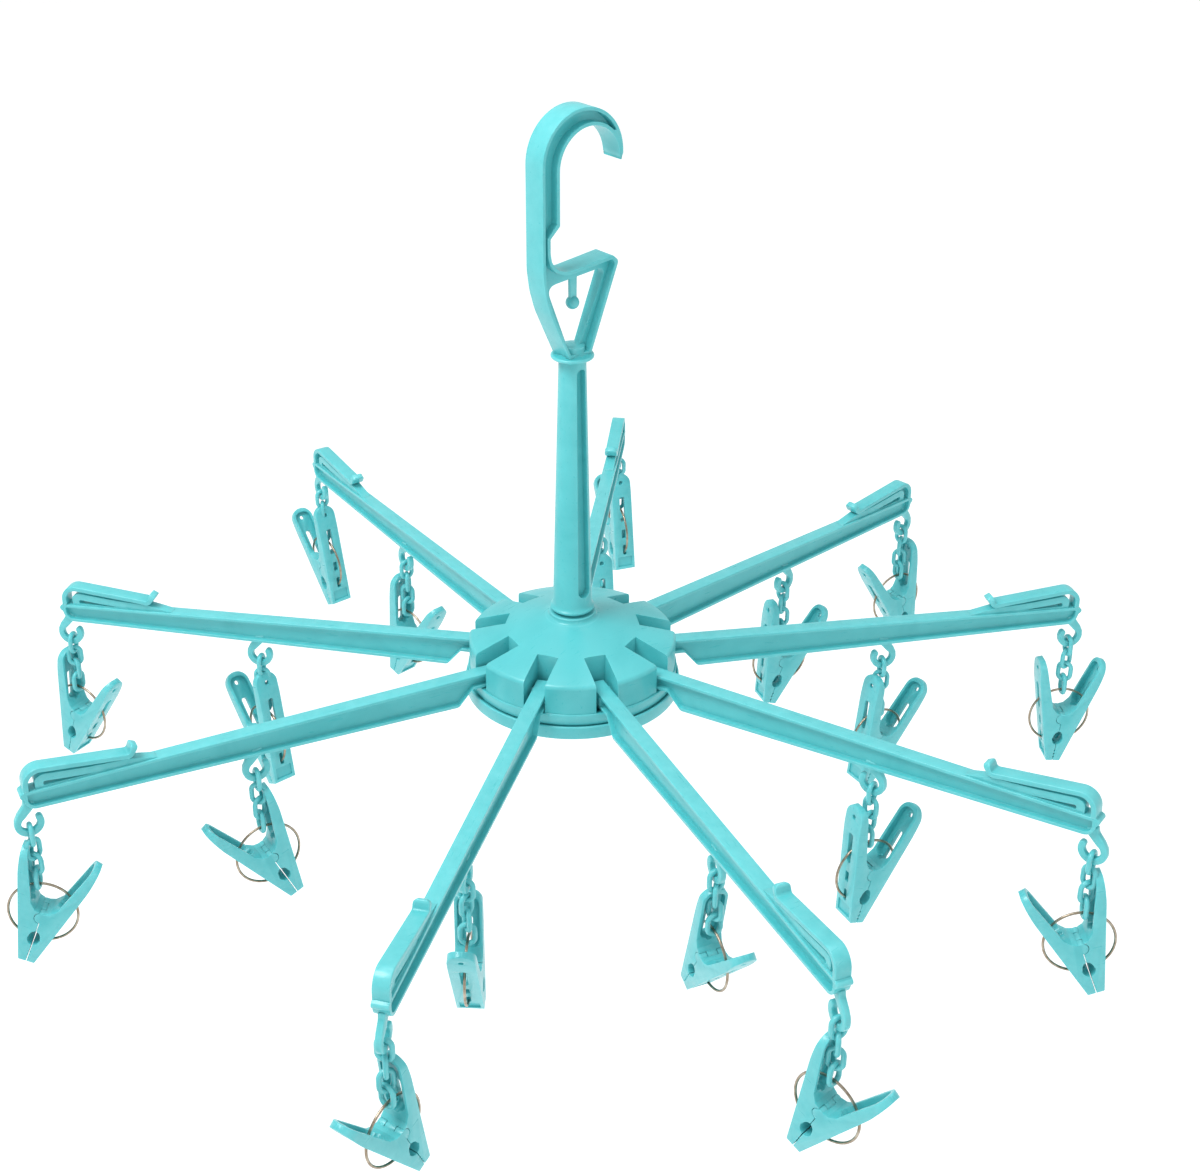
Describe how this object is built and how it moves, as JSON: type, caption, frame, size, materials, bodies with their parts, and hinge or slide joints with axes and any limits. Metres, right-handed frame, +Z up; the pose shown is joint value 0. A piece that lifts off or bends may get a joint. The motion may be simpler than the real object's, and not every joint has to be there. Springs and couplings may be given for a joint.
{
  "type": "hanging peg dryer",
  "caption": "Folding round peg dryer: an umbrella of slotted arms on a spinning hub, chained spring pegs under each arm and a pole with a rail hook.",
  "frame": {"origin": "the seat of the hook, where the top of a horizontal rail touches it", "axes": "+Z up, the rail runs along Y and the hook lies in the XZ plane"},
  "size_m": [0.5172, 0.5417, 0.3431],
  "materials": {
    "frame": "moulded, slightly glossy turquoise",
    "peg": "moulded, slightly glossy turquoise",
    "steel": "plain steel"
  },
  "bodies": {
    "stem": {"hook": "frame", "pole": "frame", "retaining_washer": "steel", "retaining_screw": "steel"},
    "hub": {"hub_cap": "frame", "hub_base": "frame"},
    "arm_1": {"arm_1": "frame"},
    "clip_tongue_1": {"clip_tongue_1": "frame"},
    "outer_peg_1": {"outer_peg_1_spring_leg": "peg"},
    "outer_peg_1_jaw": {"outer_peg_1_free_leg": "peg"},
    "inner_peg_1": {"inner_peg_1_spring_leg": "peg"},
    "inner_peg_1_jaw": {"inner_peg_1_free_leg": "peg"},
    "arm_2": {"arm_2": "frame"},
    "clip_tongue_2": {"clip_tongue_2": "frame"},
    "outer_peg_2": {"outer_peg_2_spring_leg": "peg"},
    "outer_peg_2_jaw": {"outer_peg_2_free_leg": "peg"},
    "inner_peg_2": {"inner_peg_2_spring_leg": "peg"},
    "inner_peg_2_jaw": {"inner_peg_2_free_leg": "peg"},
    "arm_3": {"arm_3": "frame"},
    "clip_tongue_3": {"clip_tongue_3": "frame"},
    "outer_peg_3": {"outer_peg_3_spring_leg": "peg"},
    "outer_peg_3_jaw": {"outer_peg_3_free_leg": "peg"},
    "inner_peg_3": {"inner_peg_3_spring_leg": "peg"},
    "inner_peg_3_jaw": {"inner_peg_3_free_leg": "peg"},
    "arm_4": {"arm_4": "frame"},
    "clip_tongue_4": {"clip_tongue_4": "frame"},
    "outer_peg_4": {"outer_peg_4_spring_leg": "peg"},
    "outer_peg_4_jaw": {"outer_peg_4_free_leg": "peg"},
    "inner_peg_4": {"inner_peg_4_spring_leg": "peg"},
    "inner_peg_4_jaw": {"inner_peg_4_free_leg": "peg"},
    "arm_5": {"arm_5": "frame"},
    "clip_tongue_5": {"clip_tongue_5": "frame"},
    "outer_peg_5": {"outer_peg_5_spring_leg": "peg"},
    "outer_peg_5_jaw": {"outer_peg_5_free_leg": "peg"},
    "inner_peg_5": {"inner_peg_5_spring_leg": "peg"},
    "inner_peg_5_jaw": {"inner_peg_5_free_leg": "peg"},
    "arm_6": {"arm_6": "frame"},
    "clip_tongue_6": {"clip_tongue_6": "frame"},
    "outer_peg_6": {"outer_peg_6_spring_leg": "peg"},
    "outer_peg_6_jaw": {"outer_peg_6_free_leg": "peg"},
    "inner_peg_6": {"inner_peg_6_spring_leg": "peg"},
    "inner_peg_6_jaw": {"inner_peg_6_free_leg": "peg"},
    "arm_7": {"arm_7": "frame"},
    "clip_tongue_7": {"clip_tongue_7": "frame"},
    "outer_peg_7": {"outer_peg_7_spring_leg": "peg"},
    "outer_peg_7_jaw": {"outer_peg_7_free_leg": "peg"},
    "inner_peg_7": {"inner_peg_7_spring_leg": "peg"},
    "inner_peg_7_jaw": {"inner_peg_7_free_leg": "peg"},
    "arm_8": {"arm_8": "frame"},
    "clip_tongue_8": {"clip_tongue_8": "frame"},
    "outer_peg_8": {"outer_peg_8_spring_leg": "peg"},
    "outer_peg_8_jaw": {"outer_peg_8_free_leg": "peg"},
    "inner_peg_8": {"inner_peg_8_spring_leg": "peg"},
    "inner_peg_8_jaw": {"inner_peg_8_free_leg": "peg"},
    "arm_9": {"arm_9": "frame"},
    "clip_tongue_9": {"clip_tongue_9": "frame"},
    "outer_peg_9": {"outer_peg_9_spring_leg": "peg"},
    "outer_peg_9_jaw": {"outer_peg_9_free_leg": "peg"},
    "inner_peg_9": {"inner_peg_9_spring_leg": "peg"},
    "inner_peg_9_jaw": {"inner_peg_9_free_leg": "peg"}
  },
  "joints": [
    {"name": "hub_spin", "type": "hinge", "parent": "stem", "child": "hub", "pos_m": [-0.005, 0, -0.24], "axis": [0, 0, 1], "continuous": true},
    {"name": "arm_1_fold", "type": "hinge", "parent": "hub", "child": "arm_1", "pos_m": [0.02616, -0.01902, -0.243], "axis": [-0.4493, -0.8934, 0], "range_deg": [0, 80]},
    {"name": "clip_tongue_1_flex", "type": "hinge", "parent": "arm_1", "child": "clip_tongue_1", "pos_m": [0.21683, -0.11492, -0.24873], "axis": [0.4493, 0.8934, 0], "range_deg": [0, 8], "stiffness_Nm_per_rad": 0.2, "springref_deg": -5.73},
    {"name": "outer_peg_1_swing", "type": "hinge", "parent": "arm_1", "child": "outer_peg_1", "pos_m": [0.21567, -0.11433, -0.26571], "axis": [0.4493, 0.8934, 0], "range_deg": [-50, 50]},
    {"name": "outer_peg_1_grip", "type": "hinge", "parent": "outer_peg_1", "child": "outer_peg_1_jaw", "pos_m": [0.2157, -0.11435, -0.31096], "axis": [-0.5793, -0.8151, 0], "range_deg": [0, 25], "stiffness_Nm_per_rad": 0.1, "springref_deg": -28.65},
    {"name": "inner_peg_1_swing", "type": "hinge", "parent": "arm_1", "child": "inner_peg_1", "pos_m": [0.12903, -0.07076, -0.26401], "axis": [0.4493, 0.8934, 0], "range_deg": [-50, 50]},
    {"name": "inner_peg_1_grip", "type": "hinge", "parent": "inner_peg_1", "child": "inner_peg_1_jaw", "pos_m": [0.12917, -0.07078, -0.30929], "axis": [-0.1736, -0.9848, 0], "range_deg": [0, 25], "stiffness_Nm_per_rad": 0.1, "springref_deg": -28.65},
    {"name": "arm_2_fold", "type": "hinge", "parent": "hub", "child": "arm_2", "pos_m": [0.03109, 0.00546, -0.243], "axis": [0.0541, -0.9985, 0], "range_deg": [0, 80]},
    {"name": "clip_tongue_2_flex", "type": "hinge", "parent": "arm_2", "child": "clip_tongue_2", "pos_m": [0.24424, 0.017, -0.24761], "axis": [-0.0541, 0.9985, 0], "range_deg": [0, 8], "stiffness_Nm_per_rad": 0.2, "springref_deg": -5.73},
    {"name": "outer_peg_2_swing", "type": "hinge", "parent": "arm_2", "child": "outer_peg_2", "pos_m": [0.24303, 0.01694, -0.2646], "axis": [-0.0541, 0.9985, 0], "range_deg": [-50, 50]},
    {"name": "outer_peg_2_grip", "type": "hinge", "parent": "outer_peg_2", "child": "outer_peg_2_jaw", "pos_m": [0.24292, 0.01696, -0.30986], "axis": [0.1805, 0.9836, 0], "range_deg": [0, 25], "stiffness_Nm_per_rad": 0.1, "springref_deg": -28.65},
    {"name": "inner_peg_2_swing", "type": "hinge", "parent": "arm_2", "child": "inner_peg_2", "pos_m": [0.14618, 0.01169, -0.26341], "axis": [-0.0541, 0.9985, 0], "range_deg": [-50, 50]},
    {"name": "inner_peg_2_grip", "type": "hinge", "parent": "inner_peg_2", "child": "inner_peg_2_jaw", "pos_m": [0.14629, 0.01165, -0.30868], "axis": [-0.3486, -0.9373, 0], "range_deg": [0, 25], "stiffness_Nm_per_rad": 0.1, "springref_deg": -28.65},
    {"name": "arm_3_fold", "type": "hinge", "parent": "hub", "child": "arm_3", "pos_m": [0.01914, 0.02738, -0.243], "axis": [0.6769, -0.7361, 0], "range_deg": [0, 80]},
    {"name": "clip_tongue_3_flex", "type": "hinge", "parent": "arm_3", "child": "clip_tongue_3", "pos_m": [0.1763, 0.1719, -0.24202], "axis": [-0.6769, 0.7361, 0], "range_deg": [0, 8], "stiffness_Nm_per_rad": 0.2, "springref_deg": -5.73},
    {"name": "outer_peg_3_swing", "type": "hinge", "parent": "arm_3", "child": "outer_peg_3", "pos_m": [0.17574, 0.17138, -0.25903], "axis": [-0.6769, 0.7361, 0], "range_deg": [-50, 50]},
    {"name": "outer_peg_3_grip", "type": "hinge", "parent": "outer_peg_3", "child": "outer_peg_3_jaw", "pos_m": [0.1758, 0.17154, -0.30432], "axis": [0.9373, -0.3486, 0], "range_deg": [0, 25], "stiffness_Nm_per_rad": 0.1, "springref_deg": -28.65},
    {"name": "inner_peg_3_swing", "type": "hinge", "parent": "arm_3", "child": "inner_peg_3", "pos_m": [0.10434, 0.10573, -0.26039], "axis": [-0.6769, 0.7361, 0], "range_deg": [-50, 50]},
    {"name": "inner_peg_3_grip", "type": "hinge", "parent": "inner_peg_3", "child": "inner_peg_3_jaw", "pos_m": [0.10442, 0.10588, -0.30567], "axis": [0.9033, -0.4289, 0], "range_deg": [0, 25], "stiffness_Nm_per_rad": 0.1, "springref_deg": -28.65},
    {"name": "arm_4_fold", "type": "hinge", "parent": "hub", "child": "arm_4", "pos_m": [-0.00411, 0.03649, -0.243], "axis": [0.9917, -0.1288, 0], "range_deg": [0, 80]},
    {"name": "clip_tongue_4_flex", "type": "hinge", "parent": "arm_4", "child": "clip_tongue_4", "pos_m": [0.02339, 0.24822, -0.2424], "axis": [-0.9917, 0.1288, 0], "range_deg": [0, 8], "stiffness_Nm_per_rad": 0.2, "springref_deg": -5.73},
    {"name": "outer_peg_4_swing", "type": "hinge", "parent": "arm_4", "child": "outer_peg_4", "pos_m": [0.02329, 0.24743, -0.2594], "axis": [-0.9917, 0.1288, 0], "range_deg": [-50, 50]},
    {"name": "outer_peg_4_grip", "type": "hinge", "parent": "outer_peg_4", "child": "outer_peg_4_jaw", "pos_m": [0.02375, 0.24758, -0.30468], "axis": [0.998, -0.055, 0.0316], "range_deg": [0, 25], "stiffness_Nm_per_rad": 0.1, "springref_deg": -28.65},
    {"name": "inner_peg_4_swing", "type": "hinge", "parent": "arm_4", "child": "inner_peg_4", "pos_m": [0.0108, 0.15125, -0.26059], "axis": [-0.9917, 0.1288, 0], "range_deg": [-50, 50]},
    {"name": "inner_peg_4_grip", "type": "hinge", "parent": "inner_peg_4", "child": "inner_peg_4_jaw", "pos_m": [0.01081, 0.15113, -0.30586], "axis": [-0.9968, -0.0802, 0], "range_deg": [0, 25], "stiffness_Nm_per_rad": 0.1, "springref_deg": -28.65},
    {"name": "arm_5_fold", "type": "hinge", "parent": "hub", "child": "arm_5", "pos_m": [-0.02777, 0.02852, -0.243], "axis": [0.7997, 0.6004, 0], "range_deg": [0, 80]},
    {"name": "clip_tongue_5_flex", "type": "hinge", "parent": "arm_5", "child": "clip_tongue_5", "pos_m": [-0.15596, 0.19925, -0.24575], "axis": [-0.7997, -0.6004, 0], "range_deg": [0, 8], "stiffness_Nm_per_rad": 0.2, "springref_deg": -5.73},
    {"name": "outer_peg_5_swing", "type": "hinge", "parent": "arm_5", "child": "outer_peg_5", "pos_m": [-0.15532, 0.1984, -0.26274], "axis": [-0.7997, -0.6004, 0], "range_deg": [-50, 50]},
    {"name": "outer_peg_5_grip", "type": "hinge", "parent": "outer_peg_5", "child": "outer_peg_5_jaw", "pos_m": [-0.15528, 0.19828, -0.30801], "axis": [-0.9532, -0.3024, 0], "range_deg": [0, 25], "stiffness_Nm_per_rad": 0.1, "springref_deg": -28.65},
    {"name": "inner_peg_5_swing", "type": "hinge", "parent": "arm_5", "child": "inner_peg_5", "pos_m": [-0.09708, 0.12083, -0.2624], "axis": [-0.7997, -0.6004, 0], "range_deg": [-50, 50]},
    {"name": "inner_peg_5_grip", "type": "hinge", "parent": "inner_peg_5", "child": "inner_peg_5_jaw", "pos_m": [-0.09708, 0.121, -0.30769], "axis": [0.9998, 0.0175, 0], "range_deg": [0, 25], "stiffness_Nm_per_rad": 0.1, "springref_deg": -28.65},
    {"name": "arm_6_fold", "type": "hinge", "parent": "hub", "child": "arm_6", "pos_m": [-0.04078, 0.00721, -0.243], "axis": [0.2554, 0.9668, 0], "range_deg": [0, 80]},
    {"name": "clip_tongue_6_flex", "type": "hinge", "parent": "arm_6", "child": "clip_tongue_6", "pos_m": [-0.24721, 0.06175, -0.24277], "axis": [-0.2554, -0.9668, 0], "range_deg": [0, 8], "stiffness_Nm_per_rad": 0.2, "springref_deg": -5.73},
    {"name": "outer_peg_6_swing", "type": "hinge", "parent": "arm_6", "child": "outer_peg_6", "pos_m": [-0.24641, 0.06155, -0.25977], "axis": [-0.2554, -0.9668, 0], "range_deg": [-50, 50]},
    {"name": "outer_peg_6_grip", "type": "hinge", "parent": "outer_peg_6", "child": "outer_peg_6_jaw", "pos_m": [-0.2463, 0.06145, -0.30505], "axis": [-0.6481, -0.7615, 0], "range_deg": [0, 25], "stiffness_Nm_per_rad": 0.1, "springref_deg": -28.65},
    {"name": "inner_peg_6_swing", "type": "hinge", "parent": "arm_6", "child": "inner_peg_6", "pos_m": [-0.15263, 0.03677, -0.26079], "axis": [-0.2554, -0.9668, 0], "range_deg": [-50, 50]},
    {"name": "inner_peg_6_grip", "type": "hinge", "parent": "inner_peg_6", "child": "inner_peg_6_jaw", "pos_m": [-0.15083, 0.03644, -0.30594], "axis": [0.1805, 0.9836, 0], "range_deg": [0, 25], "stiffness_Nm_per_rad": 0.1, "springref_deg": -28.65},
    {"name": "arm_7_fold", "type": "hinge", "parent": "hub", "child": "arm_7", "pos_m": [-0.03705, -0.01747, -0.243], "axis": [-0.5736, 0.8192, 0], "range_deg": [0, 80]},
    {"name": "clip_tongue_7_flex", "type": "hinge", "parent": "arm_7", "child": "clip_tongue_7", "pos_m": [-0.21194, -0.13994, -0.2424], "axis": [0.5736, -0.8192, 0], "range_deg": [0, 8], "stiffness_Nm_per_rad": 0.2, "springref_deg": -5.73},
    {"name": "outer_peg_7_swing", "type": "hinge", "parent": "arm_7", "child": "outer_peg_7", "pos_m": [-0.21129, -0.13948, -0.2594], "axis": [0.5736, -0.8192, 0], "range_deg": [-50, 50]},
    {"name": "outer_peg_7_grip", "type": "hinge", "parent": "outer_peg_7", "child": "outer_peg_7_jaw", "pos_m": [-0.20951, -0.13907, -0.30455], "axis": [-0.225, 0.9744, 0], "range_deg": [0, 25], "stiffness_Nm_per_rad": 0.1, "springref_deg": -28.65},
    {"name": "inner_peg_7_swing", "type": "hinge", "parent": "arm_7", "child": "inner_peg_7", "pos_m": [-0.13184, -0.08385, -0.26059], "axis": [0.5736, -0.8192, 0], "range_deg": [-50, 50]},
    {"name": "inner_peg_7_grip", "type": "hinge", "parent": "inner_peg_7", "child": "inner_peg_7_jaw", "pos_m": [-0.13192, -0.08393, -0.30585], "axis": [-0.7193, 0.6947, 0], "range_deg": [0, 25], "stiffness_Nm_per_rad": 0.1, "springref_deg": -28.65},
    {"name": "arm_8_fold", "type": "hinge", "parent": "hub", "child": "arm_8", "pos_m": [-0.01832, -0.03398, -0.243], "axis": [-0.9548, 0.2974, 0], "range_deg": [0, 80]},
    {"name": "clip_tongue_8_flex", "type": "hinge", "parent": "arm_8", "child": "clip_tongue_8", "pos_m": [-0.08181, -0.23782, -0.24053], "axis": [0.9548, -0.2974, 0], "range_deg": [0, 8], "stiffness_Nm_per_rad": 0.2, "springref_deg": -5.73},
    {"name": "outer_peg_8_swing", "type": "hinge", "parent": "arm_8", "child": "outer_peg_8", "pos_m": [-0.08161, -0.23721, -0.25755], "axis": [0.9548, -0.2974, 0], "range_deg": [-50, 50]},
    {"name": "outer_peg_8_grip", "type": "hinge", "parent": "outer_peg_8", "child": "outer_peg_8_jaw", "pos_m": [-0.08181, -0.23539, -0.3027], "axis": [-0.9945, -0.1045, 0], "range_deg": [0, 25], "stiffness_Nm_per_rad": 0.1, "springref_deg": -28.65},
    {"name": "inner_peg_8_swing", "type": "hinge", "parent": "arm_8", "child": "inner_peg_8", "pos_m": [-0.05278, -0.14461, -0.25958], "axis": [0.9548, -0.2974, 0], "range_deg": [-50, 50]},
    {"name": "inner_peg_8_grip", "type": "hinge", "parent": "inner_peg_8", "child": "inner_peg_8_jaw", "pos_m": [-0.05228, -0.14288, -0.30474], "axis": [-0.9613, 0.2756, 0], "range_deg": [0, 25], "stiffness_Nm_per_rad": 0.1, "springref_deg": -28.65},
    {"name": "arm_9_fold", "type": "hinge", "parent": "hub", "child": "arm_9", "pos_m": [0.00664, -0.03459, -0.243], "axis": [-0.9673, -0.2538, 0], "range_deg": [0, 80]},
    {"name": "clip_tongue_9_flex", "type": "hinge", "parent": "arm_9", "child": "clip_tongue_9", "pos_m": [0.06077, -0.24092, -0.23383], "axis": [0.9673, 0.2538, 0], "range_deg": [0, 8], "stiffness_Nm_per_rad": 0.2, "springref_deg": -5.73},
    {"name": "outer_peg_9_swing", "type": "hinge", "parent": "arm_9", "child": "outer_peg_9", "pos_m": [0.06074, -0.24082, -0.25085], "axis": [0.9673, 0.2538, 0], "range_deg": [-50, 50]},
    {"name": "outer_peg_9_grip", "type": "hinge", "parent": "outer_peg_9", "child": "outer_peg_9_jaw", "pos_m": [0.06064, -0.24072, -0.29613], "axis": [0.6481, 0.7615, 0], "range_deg": [0, 25], "stiffness_Nm_per_rad": 0.1, "springref_deg": -28.65},
    {"name": "inner_peg_9_swing", "type": "hinge", "parent": "arm_9", "child": "inner_peg_9", "pos_m": [0.03616, -0.14712, -0.25593], "axis": [0.9673, 0.2538, 0], "range_deg": [-50, 50]},
    {"name": "inner_peg_9_grip", "type": "hinge", "parent": "inner_peg_9", "child": "inner_peg_9_jaw", "pos_m": [0.03627, -0.14715, -0.30119], "axis": [-0.2419, -0.9703, 0], "range_deg": [0, 25], "stiffness_Nm_per_rad": 0.1, "springref_deg": -28.65}
  ]
}
